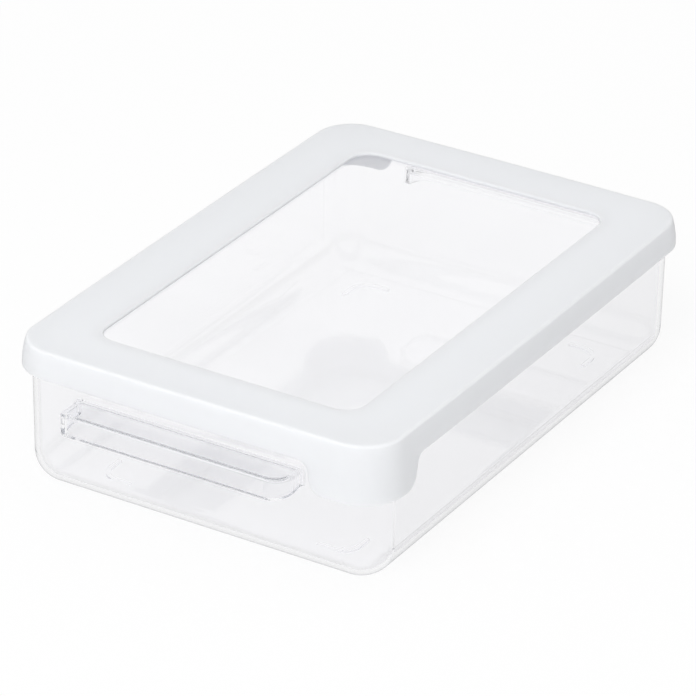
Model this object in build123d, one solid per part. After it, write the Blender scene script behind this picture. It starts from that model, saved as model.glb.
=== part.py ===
import os
from math import radians, tan

from build123d import *

# All lengths are in millimetres. X is across the box, Y along it and Z up, and the origin
# lies on the surface that the box stands on, under the middle of the box.

# Lid frame
lid_width = 170.0          # flat top, straight across at the corners
lid_length = 249.5
lid_corner = 17.0          # plan radius of the top
side_bow = 0.6             # how far a long side swells at its middle
end_bow = 0.8              # how far a short side swells at its middle
lid_plate = 2.4            # thickness of the flat frame
lid_edge_round = 1.3       # rounding along the top edge
skirt_depth = 11.6         # from the top down to the skirt's lower edge
skirt_flare = 1.75         # how far the skirt swells out at its lower edge
skirt_wall = 1.8

# Corner tabs of the lid, at the front right corner and at the back left one
tab_depth = 25.0           # from the top down to the front tab's lower edge
tab_front_reach = 31.5     # from the lid's side to where the tab starts on the front
tab_side_reach = 27.0      # from the lid's front to where the tab ends on the side
back_tab_depth = 20.5      # from the top down to the lower edge of the back tab, the smaller one
back_tab_reach = 27.5      # from the lid's side to where the back tab starts on the back
tab_side_lean = 3.0        # how far a tab's edge leans in over its height
tab_inner_round = 4.0      # rounding where the skirt turns down into the tab
tab_outer_round = 6.0      # rounding at the tab's lower ends

# Window in the lid
window_width = 119.7
window_length = 204.2
window_corner = 9.0
window_recess = 1.3        # how far the panel lies below the frame's top
window_edge_round = 0.9    # rounding along the opening's upper edge
window_ledge = 3.0         # how far the panel reaches under the frame
window_gap = 0.15          # clearance round the panel
window_seat_gap = 0.05     # clearance between the panel and the ledge above it

# Container body
box_height = 65.0          # from the foot ribs' underside to the lid's top
lid_clearance = 0.35       # between the rim bead and the skirt's inner face
rim_bead = 0.6             # how far the bead stands out from the wall
rim_bead_height = 3.0
body_corner = 14.7         # plan radius where the walls' outer faces would meet the floor
body_draft = 0.7           # lean of the walls, degrees
body_wall = 2.0
body_floor = 2.0
base_round = 14.2          # outer rounding between wall and floor

# Finger grips on the two short sides
grip_top_depth = 18.0      # from the lid's top down to the grip's shelf
grip_height = 9.5          # from the shelf's top to the lip's lower edge
grip_reach = 13.6          # how far the lip stands out from the wall
grip_plain_end = 54.5      # from the middle to the end away from the tab
grip_tab_end = 49.5        # from the middle to the end beside the tab
grip_plain_corner = 3.0    # plan radius at the end away from the tab
grip_tab_corner = 9.0      # plan radius at the end beside the tab
grip_wall = 2.0
grip_edge_round = 1.5      # outer rounding between shelf and lip
grip_root_round = 2.0      # inner rounding between the grip and the wall
grip_end_rise = 2.9        # how far the lower edge of each end rises from the lip into the wall
back_grip_rise = 2.8       # how much higher the back grip sits than the front one

# Foot ribs, which drop into the window recess of a box below
rib_height = 0.8
rib_width = 2.0
rib_clearance = 0.6        # between a rib and the edge of the recess
rib_leg_x = 15.2           # length of a rib's leg across the box
rib_leg_y = 15.2           # length of a rib's leg along the box

# Heights that follow from the sizes above
lid_underside = box_height - lid_plate
skirt_bottom = box_height - skirt_depth
floor_underside = rib_height
rim_height = lid_underside - floor_underside
shelf_top = box_height - grip_top_depth
lip_bottom = shelf_top - grip_height


def bowed_outline(half_x, half_y, corner, z):
    """A rounded rectangle with softly swelling sides, as a face at height z."""
    front = ThreePointArc((-half_x, -half_y), (0, -half_y - end_bow), (half_x, -half_y))
    right = ThreePointArc((half_x, -half_y), (half_x + side_bow, 0), (half_x, half_y))
    back = ThreePointArc((half_x, half_y), (0, half_y + end_bow), (-half_x, half_y))
    left = ThreePointArc((-half_x, half_y), (-half_x - side_bow, 0), (-half_x, -half_y))
    face = make_face([front, right, back, left])
    face = fillet(face.vertices(), corner)
    return Pos(0, 0, z) * face


def flare_at(depth):
    """How far the skirt's outer face has swelled out at a depth below the top."""
    return skirt_flare * (1 - (1 - depth / skirt_depth) ** 2)


def lid_outline(depth, inset=0.0):
    """The lid's outer outline at a depth below its top, drawn in by an inset."""
    out = flare_at(depth) - inset
    return bowed_outline(lid_width / 2 + out, lid_length / 2 + out, lid_corner + out, box_height - depth)


def lid_hull(first_depth, inset):
    """A solid with the skirt's curved side from a depth down to the tabs' lower edge."""
    steps = 4
    depths = [first_depth + (skirt_depth - first_depth) * i / (steps - 1) for i in range(steps)]
    upper = loft([lid_outline(depth, inset) for depth in depths])
    lower = extrude(lid_outline(skirt_depth, inset), amount=-(tab_depth - skirt_depth))
    return upper + lower


def tab_profile(tab_start, side_sign, tab_bottom):
    """Side view of skirt and tab: a wide band that steps down to the tab at tab_start."""
    far = lid_length
    step = tab_start + side_sign * tab_side_lean
    points = [
        (-side_sign * far, box_height + lid_plate),
        (-side_sign * far, skirt_bottom),
        (tab_start, skirt_bottom),
        (step, tab_bottom),
        (side_sign * far, tab_bottom),
        (side_sign * far, box_height + lid_plate),
    ]
    face = make_face(Polyline(*points, close=True))
    inner = face.vertices().sort_by_distance((tab_start, skirt_bottom))[0]
    face = fillet(inner, tab_inner_round)
    outer = face.vertices().sort_by_distance((step, tab_bottom))[0]
    return fillet(outer, tab_outer_round)


def skirt_and_one_tab(end_reach, depth):
    """The space kept for the skirt all round and for a tab at the front right corner."""
    front_view = tab_profile(lid_width / 2 - end_reach, 1, box_height - depth)
    side_view = tab_profile(-lid_length / 2 + tab_side_reach, -1, box_height - depth)
    across = extrude(Plane.XZ * front_view, amount=lid_length, both=True)
    along = extrude(Plane.YZ * side_view, amount=lid_length, both=True)
    return across & along


def window_face(grow, corner, z):
    """The window's rounded rectangle, grown on every side."""
    return Pos(0, 0, z) * RectangleRounded(window_width + 2 * grow, window_length + 2 * grow, corner)


def lid_frame():
    """White frame: plate with a stepped opening, curved skirt and two corner tabs."""
    hull = lid_hull(0.0, 0.0)
    top_edges = hull.faces().sort_by(Axis.Z)[-1].outer_wire().edges()
    hull = fillet(top_edges, lid_edge_round)
    hollow = lid_hull(lid_plate, skirt_wall)
    front = skirt_and_one_tab(tab_front_reach, tab_depth)
    back = Rot(0, 0, 180) * skirt_and_one_tab(back_tab_reach, back_tab_depth)
    frame = (hull - hollow) & (front + back)
    opening = extrude(window_face(0, window_corner, lid_underside), amount=lid_plate)
    seat = extrude(
        window_face(window_ledge + window_gap, window_corner + window_ledge, lid_underside),
        amount=lid_plate - window_recess,
    )
    frame = frame - opening - seat
    opening_edges = frame.faces().sort_by(Axis.Z)[-1].inner_wires()[0].edges()
    return fillet(opening_edges, window_edge_round)


def lid_window():
    """Clear panel that lies under the frame's ledge, flush with the frame's underside."""
    face = window_face(window_ledge, window_corner + window_ledge - window_gap, lid_underside)
    return extrude(face, amount=lid_plate - window_recess - window_seat_gap)


def bead_offset():
    """Distance from the lid's top outline out to the rim bead's; it is negative, for inwards."""
    return flare_at(lid_plate) - skirt_wall - lid_clearance


def body_half_sizes(height, inset):
    """Half width and half length of the flat walls at a height above the floor's underside."""
    out = bead_offset() - rim_bead - inset
    lean = (rim_height - height) * tan(radians(body_draft))
    return (lid_width + side_bow) / 2 + out - lean, (lid_length + end_bow) / 2 + out - lean


def wall_solid(bottom, inset, rounding):
    """Drafted solid from a height above the floor's underside to the rim, rounded below."""
    low_x, low_y = body_half_sizes(bottom, inset)
    low = RectangleRounded(2 * low_x, 2 * low_y, body_corner - inset)
    solid = extrude(low, amount=rim_height - bottom, taper=-body_draft)
    solid = Pos(0, 0, floor_underside + bottom) * solid
    low_edges = solid.faces().sort_by(Axis.Z)[0].outer_wire().edges()
    return fillet(low_edges, rounding)


def grip_block(inset, top, bottom):
    """The front grip's outer block, or with an inset the hollow under it."""
    wall_y = -body_half_sizes(shelf_top - floor_underside, 0)[1]
    front_y = wall_y - grip_reach + inset
    back_y = wall_y + body_wall / 2
    left = -grip_plain_end + inset
    right = grip_tab_end - inset
    face = make_face(Polyline((left, front_y), (right, front_y), (right, back_y), (left, back_y), close=True))
    plain = face.vertices().sort_by_distance((left, front_y))[0]
    face = fillet(plain, grip_plain_corner - inset / 2)
    beside_tab = face.vertices().sort_by_distance((right, front_y))[0]
    face = fillet(beside_tab, grip_tab_corner - inset)
    block = extrude(Pos(0, 0, bottom) * face, amount=top - bottom)
    top_edges = block.faces().sort_by(Axis.Z)[-1].outer_wire().edges()
    outer_edges = [edge for edge in top_edges if edge.center().Y < back_y - body_wall / 2]
    return fillet(outer_edges, grip_edge_round - inset / 2)


def grip_underside():
    """A wedge that slants the grip's lower edge up from its lip to the wall."""
    wall_y = -body_half_sizes(shelf_top - floor_underside, 0)[1]
    lip_y = wall_y - grip_reach
    back_y = wall_y + body_wall / 2
    points = [(lip_y, lip_bottom), (back_y, lip_bottom + grip_end_rise), (back_y, lip_bottom)]
    profile = make_face(Polyline(*points, close=True))
    return extrude(Plane.YZ * profile, amount=lid_width, both=True)


def grip_shapes():
    """The front grip's outer block and the hollow under its shelf."""
    block = grip_block(0, shelf_top, lip_bottom) - grip_underside()
    hollow = grip_block(grip_wall, shelf_top - grip_wall, lip_bottom - grip_wall)
    return block, hollow


def at_back(front_shape):
    """A shape of the front grip turned round and moved up to the back grip's place."""
    return Pos(0, 0, back_grip_rise) * Rot(0, 0, 180) * front_shape


def joined_grips(outer, block):
    """The outer form with both grips' outer blocks, rounded where they meet the walls."""
    solid = outer + block + at_back(block)
    wall_y = body_half_sizes(shelf_top - floor_underside, 0)[1]
    long_edges = [edge for edge in solid.edges() if edge.length > grip_tab_end]
    near_wall = [edge for edge in long_edges if abs(edge.center().Y) < wall_y + 1]
    front = [edge for edge in near_wall if abs(edge.center().Z - shelf_top) < 0.1]
    back = [edge for edge in near_wall if abs(edge.center().Z - shelf_top - back_grip_rise) < 0.1]
    roots = front + back
    return fillet(roots, grip_root_round)


def foot_ribs():
    """Four L-shaped ribs, cut from one ring that follows the window's outline."""
    outer = window_face(-rib_clearance, window_corner, 0)
    inner = window_face(-rib_clearance - rib_width, window_corner - rib_width, 0)
    ring = extrude(outer - inner, amount=rib_height + body_floor / 2)
    across = window_width - 2 * (rib_clearance + rib_leg_x)
    along = window_length - 2 * (rib_clearance + rib_leg_y)
    tall = 2 * (rib_height + body_floor)
    gap_across = Box(across, 2 * window_length, tall)
    gap_along = Box(2 * window_width, along, tall)
    return ring - gap_across - gap_along


def container_body():
    """Clear body: drafted shell, rim bead, two finger grips and four foot ribs."""
    outer = wall_solid(0, 0, base_round)
    cavity = wall_solid(body_floor, body_wall, base_round - body_wall)
    out = bead_offset()
    bead_face = bowed_outline(lid_width / 2 + out, lid_length / 2 + out, lid_corner + out, lid_underside)
    bead = extrude(bead_face, amount=-rim_bead_height)
    block, hollow = grip_shapes()
    solid = joined_grips(outer, block) + foot_ribs() + bead
    return solid - cavity - (hollow - outer) - (at_back(hollow) - outer)


os.makedirs("parts", exist_ok=True)
export_step(container_body(), "parts/container_body.step")
export_step(lid_frame(), "parts/lid_frame.step")
export_step(lid_window(), "parts/lid_window.step")
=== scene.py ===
from math import radians

import bpy
from mathutils import Matrix, Vector


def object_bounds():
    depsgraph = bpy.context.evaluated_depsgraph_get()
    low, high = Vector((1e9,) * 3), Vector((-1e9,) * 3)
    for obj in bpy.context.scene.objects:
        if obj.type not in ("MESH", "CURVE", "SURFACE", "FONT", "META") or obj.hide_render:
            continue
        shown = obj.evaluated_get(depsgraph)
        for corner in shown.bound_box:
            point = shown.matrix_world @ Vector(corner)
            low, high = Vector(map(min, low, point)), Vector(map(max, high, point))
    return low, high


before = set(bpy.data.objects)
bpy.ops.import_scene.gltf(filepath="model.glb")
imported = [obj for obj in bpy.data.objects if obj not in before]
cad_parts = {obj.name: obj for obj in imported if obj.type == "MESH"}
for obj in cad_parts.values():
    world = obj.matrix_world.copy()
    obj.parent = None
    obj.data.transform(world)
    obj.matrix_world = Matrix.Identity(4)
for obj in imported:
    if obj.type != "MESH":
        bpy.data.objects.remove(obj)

cad_low, cad_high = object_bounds()
bpy.ops.object.select_all(action="DESELECT")


# Container body
# The tray that holds the food: one clear shell with drafted walls, a finger grip at each end and
# four foot ribs under its floor. It is injection moulded in one piece from SAN, a hard clear
# styrene plastic, in a polished mould, so it is glassy, with only a faint flow waviness.
body_tint = "FCFCFD"
painted_edge_shade = "8C9094"         # painted shade: darker where the eye looks along a wall, standing in for the dark outlines of clear edges
edge_shade_blend = 0.5             # the tint follows the angle of view evenly
edge_shade_sharpness = 9.0         # how quickly the tint fades away from such edges
clear_ior = 1.57
polished_roughness = 0.01
scuffed_roughness = 0.05
scuff_size = 0.004           # metres across a faint patch of handling haze
scuff_detail = 4.0
scuff_from = 0.35            # level of the scuff pattern up to which the plastic stays polished
scuff_full = 0.75            # level from which it is fully scuffed
flow_wave = 0.045            # metres from one soft swell of the plastic to the next
flow_wave_height = 0.00003
flow_detail = 2.0
inner_bounces = 10.5         # light trapped in a wall gets out after this many bounces


def linear(hex_colour):
    """An sRGB hex colour as the linear RGBA that shaders take."""
    channels = [int(hex_colour[i:i + 2], 16) / 255 for i in (0, 2, 4)]
    return [c / 12.92 if c <= 0.04045 else ((c + 0.055) / 1.055) ** 2.4 for c in channels] + [1.0]


def add_node(owner, kind, settings=None, inputs=None):
    """Adds a node to a material or world, with its properties set and its inputs set or linked."""
    node = owner.node_tree.nodes.new(kind)
    for name, value in (settings or {}).items():
        setattr(node, name, value)
    for name, value in (inputs or {}).items():
        if isinstance(value, bpy.types.NodeSocket):
            owner.node_tree.links.new(value, node.inputs[name])
        else:
            node.inputs[name].default_value = value
    return node


def clear_plastic(name, tint):
    """A polished clear moulding, which bends and mirrors light as glass does and lets lamps through,
    with painted shade where it is seen edge-on.
    """
    material = bpy.data.materials.new(name)
    material.use_nodes = True
    material.node_tree.nodes.clear()
    place = add_node(material, "ShaderNodeTexCoord").outputs["Object"]
    scuffs = add_node(material, "ShaderNodeTexNoise", inputs={
        "Vector": place, "Scale": 1 / scuff_size, "Detail": scuff_detail,
    })
    shine = add_node(material, "ShaderNodeMapRange", inputs={
        "Value": scuffs.outputs["Fac"], "From Min": scuff_from, "From Max": scuff_full,
        "To Min": polished_roughness, "To Max": scuffed_roughness,
    })
    swell = add_node(material, "ShaderNodeTexNoise", inputs={
        "Vector": place, "Scale": 1 / flow_wave, "Detail": flow_detail,
    })
    bump = add_node(material, "ShaderNodeBump", inputs={
        "Height": swell.outputs["Fac"], "Strength": 1.0, "Distance": flow_wave_height,
    })
    # Painted shade: the colour darkens towards the edge tint where the surface is seen edge-on, for the
    # dark outlines of clear edges.
    slant = add_node(material, "ShaderNodeLayerWeight", inputs={"Blend": edge_shade_blend})
    edge = add_node(material, "ShaderNodeMath", {"operation": "POWER"}, {
        0: slant.outputs["Facing"], 1: edge_shade_sharpness,
    })
    colour = add_node(material, "ShaderNodeMix", {"data_type": "RGBA"}, {
        0: edge.outputs[0], 6: linear(tint), 7: linear(painted_edge_shade),
    })
    glassy = add_node(material, "ShaderNodeBsdfPrincipled", inputs={
        "Base Color": colour.outputs[2], "IOR": clear_ior, "Transmission Weight": 1.0,
        "Roughness": shine.outputs["Result"], "Normal": bump.outputs["Normal"],
    })
    see_through = add_node(material, "ShaderNodeBsdfTransparent", inputs={"Color": linear(tint)})
    path = add_node(material, "ShaderNodeLightPath")
    trapped = add_node(material, "ShaderNodeMath", {"operation": "GREATER_THAN"}, {
        0: path.outputs["Ray Depth"], 1: inner_bounces,
    })
    lit_through = add_node(material, "ShaderNodeMath", {"operation": "MAXIMUM"}, {
        0: path.outputs["Is Shadow Ray"], 1: path.outputs["Is Diffuse Ray"],
    })
    passes = add_node(material, "ShaderNodeMath", {"operation": "MAXIMUM"}, {
        0: lit_through.outputs[0], 1: trapped.outputs[0],
    })
    surface = add_node(material, "ShaderNodeMixShader", inputs={
        0: passes.outputs[0], 1: glassy.outputs["BSDF"], 2: see_through.outputs["BSDF"],
    })
    add_node(material, "ShaderNodeOutputMaterial", inputs={"Surface": surface.outputs["Shader"]})
    return material


def give_material(node_name, material):
    """Gives a moulding its material in place of the plain one that it comes with."""
    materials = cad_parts[node_name].data.materials
    materials.clear()
    materials.append(material)


give_material("container_body", clear_plastic("injection_moulded_clear_SAN", body_tint))


# Lid frame
# The white frame of the lid, with its skirt and its two corner tabs. It is injection moulded in
# opaque polypropylene, which is slightly springy so that the tabs can be flexed off the rim. Its
# satin finish comes from a finely spark-eroded mould.
lid_white = "E8EAED"
lid_ior = 1.49
lid_scatter_share = 0.8      # share of the light that spreads inside the plastic before it leaves
lid_scatter_reach = 0.005    # metres that it spreads
lid_scatter_even = (1.0, 1.0, 1.0)  # red, green and blue light spread alike
lid_roughness_low = 0.32
lid_roughness_high = 0.42
lid_patch_from = 0.3         # levels of the patch pattern between which the roughness changes
lid_patch_full = 0.7
lid_detail = 3.0
spark_grain = 0.0004         # metres between the mould's fine pits, drawn coarse enough to show
spark_depth = 0.000004

lid_plastic = bpy.data.materials.new("injection_moulded_white_polypropylene")
lid_plastic.use_nodes = True
lid_plastic.node_tree.nodes.clear()
lid_place = add_node(lid_plastic, "ShaderNodeTexCoord").outputs["Object"]
lid_grain = add_node(lid_plastic, "ShaderNodeTexNoise", inputs={
    "Vector": lid_place, "Scale": 1 / spark_grain, "Detail": lid_detail,
})
lid_bump = add_node(lid_plastic, "ShaderNodeBump", inputs={
    "Height": lid_grain.outputs["Fac"], "Strength": 1.0, "Distance": spark_depth,
})
lid_patches = add_node(lid_plastic, "ShaderNodeTexNoise", inputs={
    "Vector": lid_place, "Scale": 1 / flow_wave, "Detail": lid_detail,
})
lid_shine = add_node(lid_plastic, "ShaderNodeMapRange", inputs={
    "Value": lid_patches.outputs["Fac"], "From Min": lid_patch_from, "From Max": lid_patch_full,
    "To Min": lid_roughness_low, "To Max": lid_roughness_high,
})
lid_surface = add_node(lid_plastic, "ShaderNodeBsdfPrincipled", inputs={
    "Base Color": linear(lid_white), "IOR": lid_ior, "Subsurface Weight": lid_scatter_share,
    "Subsurface Radius": lid_scatter_even, "Subsurface Scale": lid_scatter_reach,
    "Roughness": lid_shine.outputs["Result"], "Normal": lid_bump.outputs["Normal"],
})
add_node(lid_plastic, "ShaderNodeOutputMaterial", inputs={"Surface": lid_surface.outputs["BSDF"]})
give_material("lid_frame", lid_plastic)


# Lid window
# A clear panel that is set in the frame from below, so that the food can be seen. It is moulded
# from the same SAN as the body and polished on both faces, with the same painted edge shade.
window_tint = "FCFCFD"
give_material("lid_window", clear_plastic("injection_moulded_clear_SAN_panel", window_tint))


# Table top
# The plain white table top that the box stands on. It takes the box's shadow as a diffuse white,
# and the eye and the clear plastic see it lifted towards plain white.
floor_half = 6.0             # metres from the middle to the table's edge
floor_drop = 0.0002          # metres that the table top lies below the foot ribs
floor_colour = "FCFCFC"
plain_white = 1.0            # brightness of plain white
floor_lift = 0.88            # share of plain white that the eye sees
floor_in_mirror = 0.5        # its brightness in mirrored rays, which outlines clear edges
mirror_bounces = 3.5         # mirrored rays with more bounces than this see the table top white

bpy.ops.mesh.primitive_plane_add(size=2 * floor_half, location=(0, 0, -floor_drop))
floor = bpy.context.active_object
floor.name = "floor"
laminate = bpy.data.materials.new("white_table_laminate")
laminate.use_nodes = True
laminate.node_tree.nodes.clear()
floor_diffuse = add_node(laminate, "ShaderNodeBsdfDiffuse", inputs={"Color": linear(floor_colour)})
floor_path = add_node(laminate, "ShaderNodeLightPath")
few_bounces = add_node(laminate, "ShaderNodeMath", {"operation": "LESS_THAN"}, {
    0: floor_path.outputs["Ray Depth"], 1: mirror_bounces,
})
plain_mirror = add_node(laminate, "ShaderNodeMath", {"operation": "MULTIPLY"}, {
    0: floor_path.outputs["Is Reflection Ray"], 1: few_bounces.outputs[0],
})
floor_seen = add_node(laminate, "ShaderNodeMapRange", inputs={
    "Value": plain_mirror.outputs[0], "To Min": plain_white, "To Max": floor_in_mirror,
})
floor_white = add_node(laminate, "ShaderNodeEmission", inputs={
    "Strength": floor_seen.outputs["Result"],
})
seen_or_mirrored = add_node(laminate, "ShaderNodeMath", {"operation": "MAXIMUM"}, {
    0: floor_path.outputs["Is Camera Ray"], 1: floor_path.outputs["Is Glossy Ray"],
})
seen_any_way = add_node(laminate, "ShaderNodeMath", {"operation": "MAXIMUM"}, {
    0: seen_or_mirrored.outputs[0], 1: floor_path.outputs["Is Transmission Ray"],
})
lift = add_node(laminate, "ShaderNodeMath", {"operation": "MULTIPLY"}, {
    0: seen_any_way.outputs[0], 1: floor_lift,
})
floor_surface = add_node(laminate, "ShaderNodeMixShader", inputs={
    0: lift.outputs[0], 1: floor_diffuse.outputs["BSDF"], 2: floor_white.outputs["Emission"],
})
add_node(laminate, "ShaderNodeOutputMaterial", inputs={"Surface": floor_surface.outputs["Shader"]})
floor.data.materials.append(laminate)


# Studio light
# A pale surround, and one large soft lamp that stands in front of the box, high up and a little to
# the right. Where the surround is seen or mirrored, its low part is darker and its high part white.
surround_colour = "FFFFFF"
surround_strength = 0.6      # of the light that falls on the box
dark_flag_strength = 0.5     # the darker low part, which gives clear edges their outline
dark_flag_top = 0.2          # height of a line of sight above which the surround starts to get white
white_from = 0.4             # height from which it is white
softbox_place = (0.60, -2.85, 3.30)
softbox_size = 2.4
softbox_power = 105.0        # watts

world = bpy.data.worlds.new("studio")
bpy.context.scene.world = world
world.use_nodes = True
world.node_tree.nodes.clear()
world_path = add_node(world, "ShaderNodeLightPath")
world_mirrored = add_node(world, "ShaderNodeMath", {"operation": "MAXIMUM"}, {
    0: world_path.outputs["Is Glossy Ray"], 1: world_path.outputs["Is Transmission Ray"],
})
world_seen = add_node(world, "ShaderNodeMath", {"operation": "MAXIMUM"}, {
    0: world_path.outputs["Is Camera Ray"], 1: world_mirrored.outputs[0],
})
world_place = add_node(world, "ShaderNodeTexCoord").outputs["Generated"]
world_height = add_node(world, "ShaderNodeSeparateXYZ", inputs={"Vector": world_place})
world_in_view = add_node(world, "ShaderNodeMapRange", inputs={
    "Value": world_height.outputs["Z"], "From Min": dark_flag_top, "From Max": white_from,
    "To Min": dark_flag_strength, "To Max": plain_white,
})
world_strength = add_node(world, "ShaderNodeMix", {"data_type": "FLOAT"}, {
    0: world_seen.outputs[0], 2: surround_strength, 3: world_in_view.outputs["Result"],
})
world_light = add_node(world, "ShaderNodeBackground", inputs={
    "Color": linear(surround_colour), "Strength": world_strength.outputs[0],
})
add_node(world, "ShaderNodeOutputWorld", inputs={"Surface": world_light.outputs["Background"]})

bpy.ops.object.light_add(type="AREA", location=softbox_place)
softbox = bpy.context.active_object
softbox.name = "key_softbox"
softbox.data.size = softbox_size
softbox.data.energy = softbox_power
softbox.visible_glossy = False
softbox.visible_transmission = False
softbox.rotation_euler = Vector(softbox_place).to_track_quat("Z", "Y").to_euler()


# Camera
# A long lens, from the front right and above, aimed by turns about the middle of the lid's top.
camera_azimuth = 30.829
camera_elevation = 27.754
camera_roll = 0.993
camera_distance = 1.9261
camera_lens = 245.35         # millimetres
camera_sensor = 36.0         # millimetres
camera_aside = -0.00405      # metres that the line of sight passes the middle of the lid's top
camera_below = -0.02999
light_bounces = 32           # enough for light to get through all of the clear walls
lid_top = Vector((0, 0, cad_high.z))

turn = (
    Matrix.Rotation(radians(camera_azimuth), 4, "Z")
    @ Matrix.Rotation(radians(90 - camera_elevation), 4, "X")
    @ Matrix.Rotation(radians(camera_roll), 4, "Z")
)
camera_data = bpy.data.cameras.new("camera")
camera_data.lens = camera_lens
camera_data.sensor_width = camera_sensor
camera = bpy.data.objects.new("camera", camera_data)
bpy.context.collection.objects.link(camera)
camera.matrix_world = Matrix.Translation(lid_top) @ turn @ Matrix.Translation(
    (camera_aside, camera_below, camera_distance)
)
bpy.context.scene.camera = camera
bpy.context.scene.view_settings.view_transform = "Standard"
bpy.context.scene.cycles.max_bounces = light_bounces
bpy.context.scene.cycles.glossy_bounces = light_bounces
bpy.context.scene.cycles.transmission_bounces = light_bounces
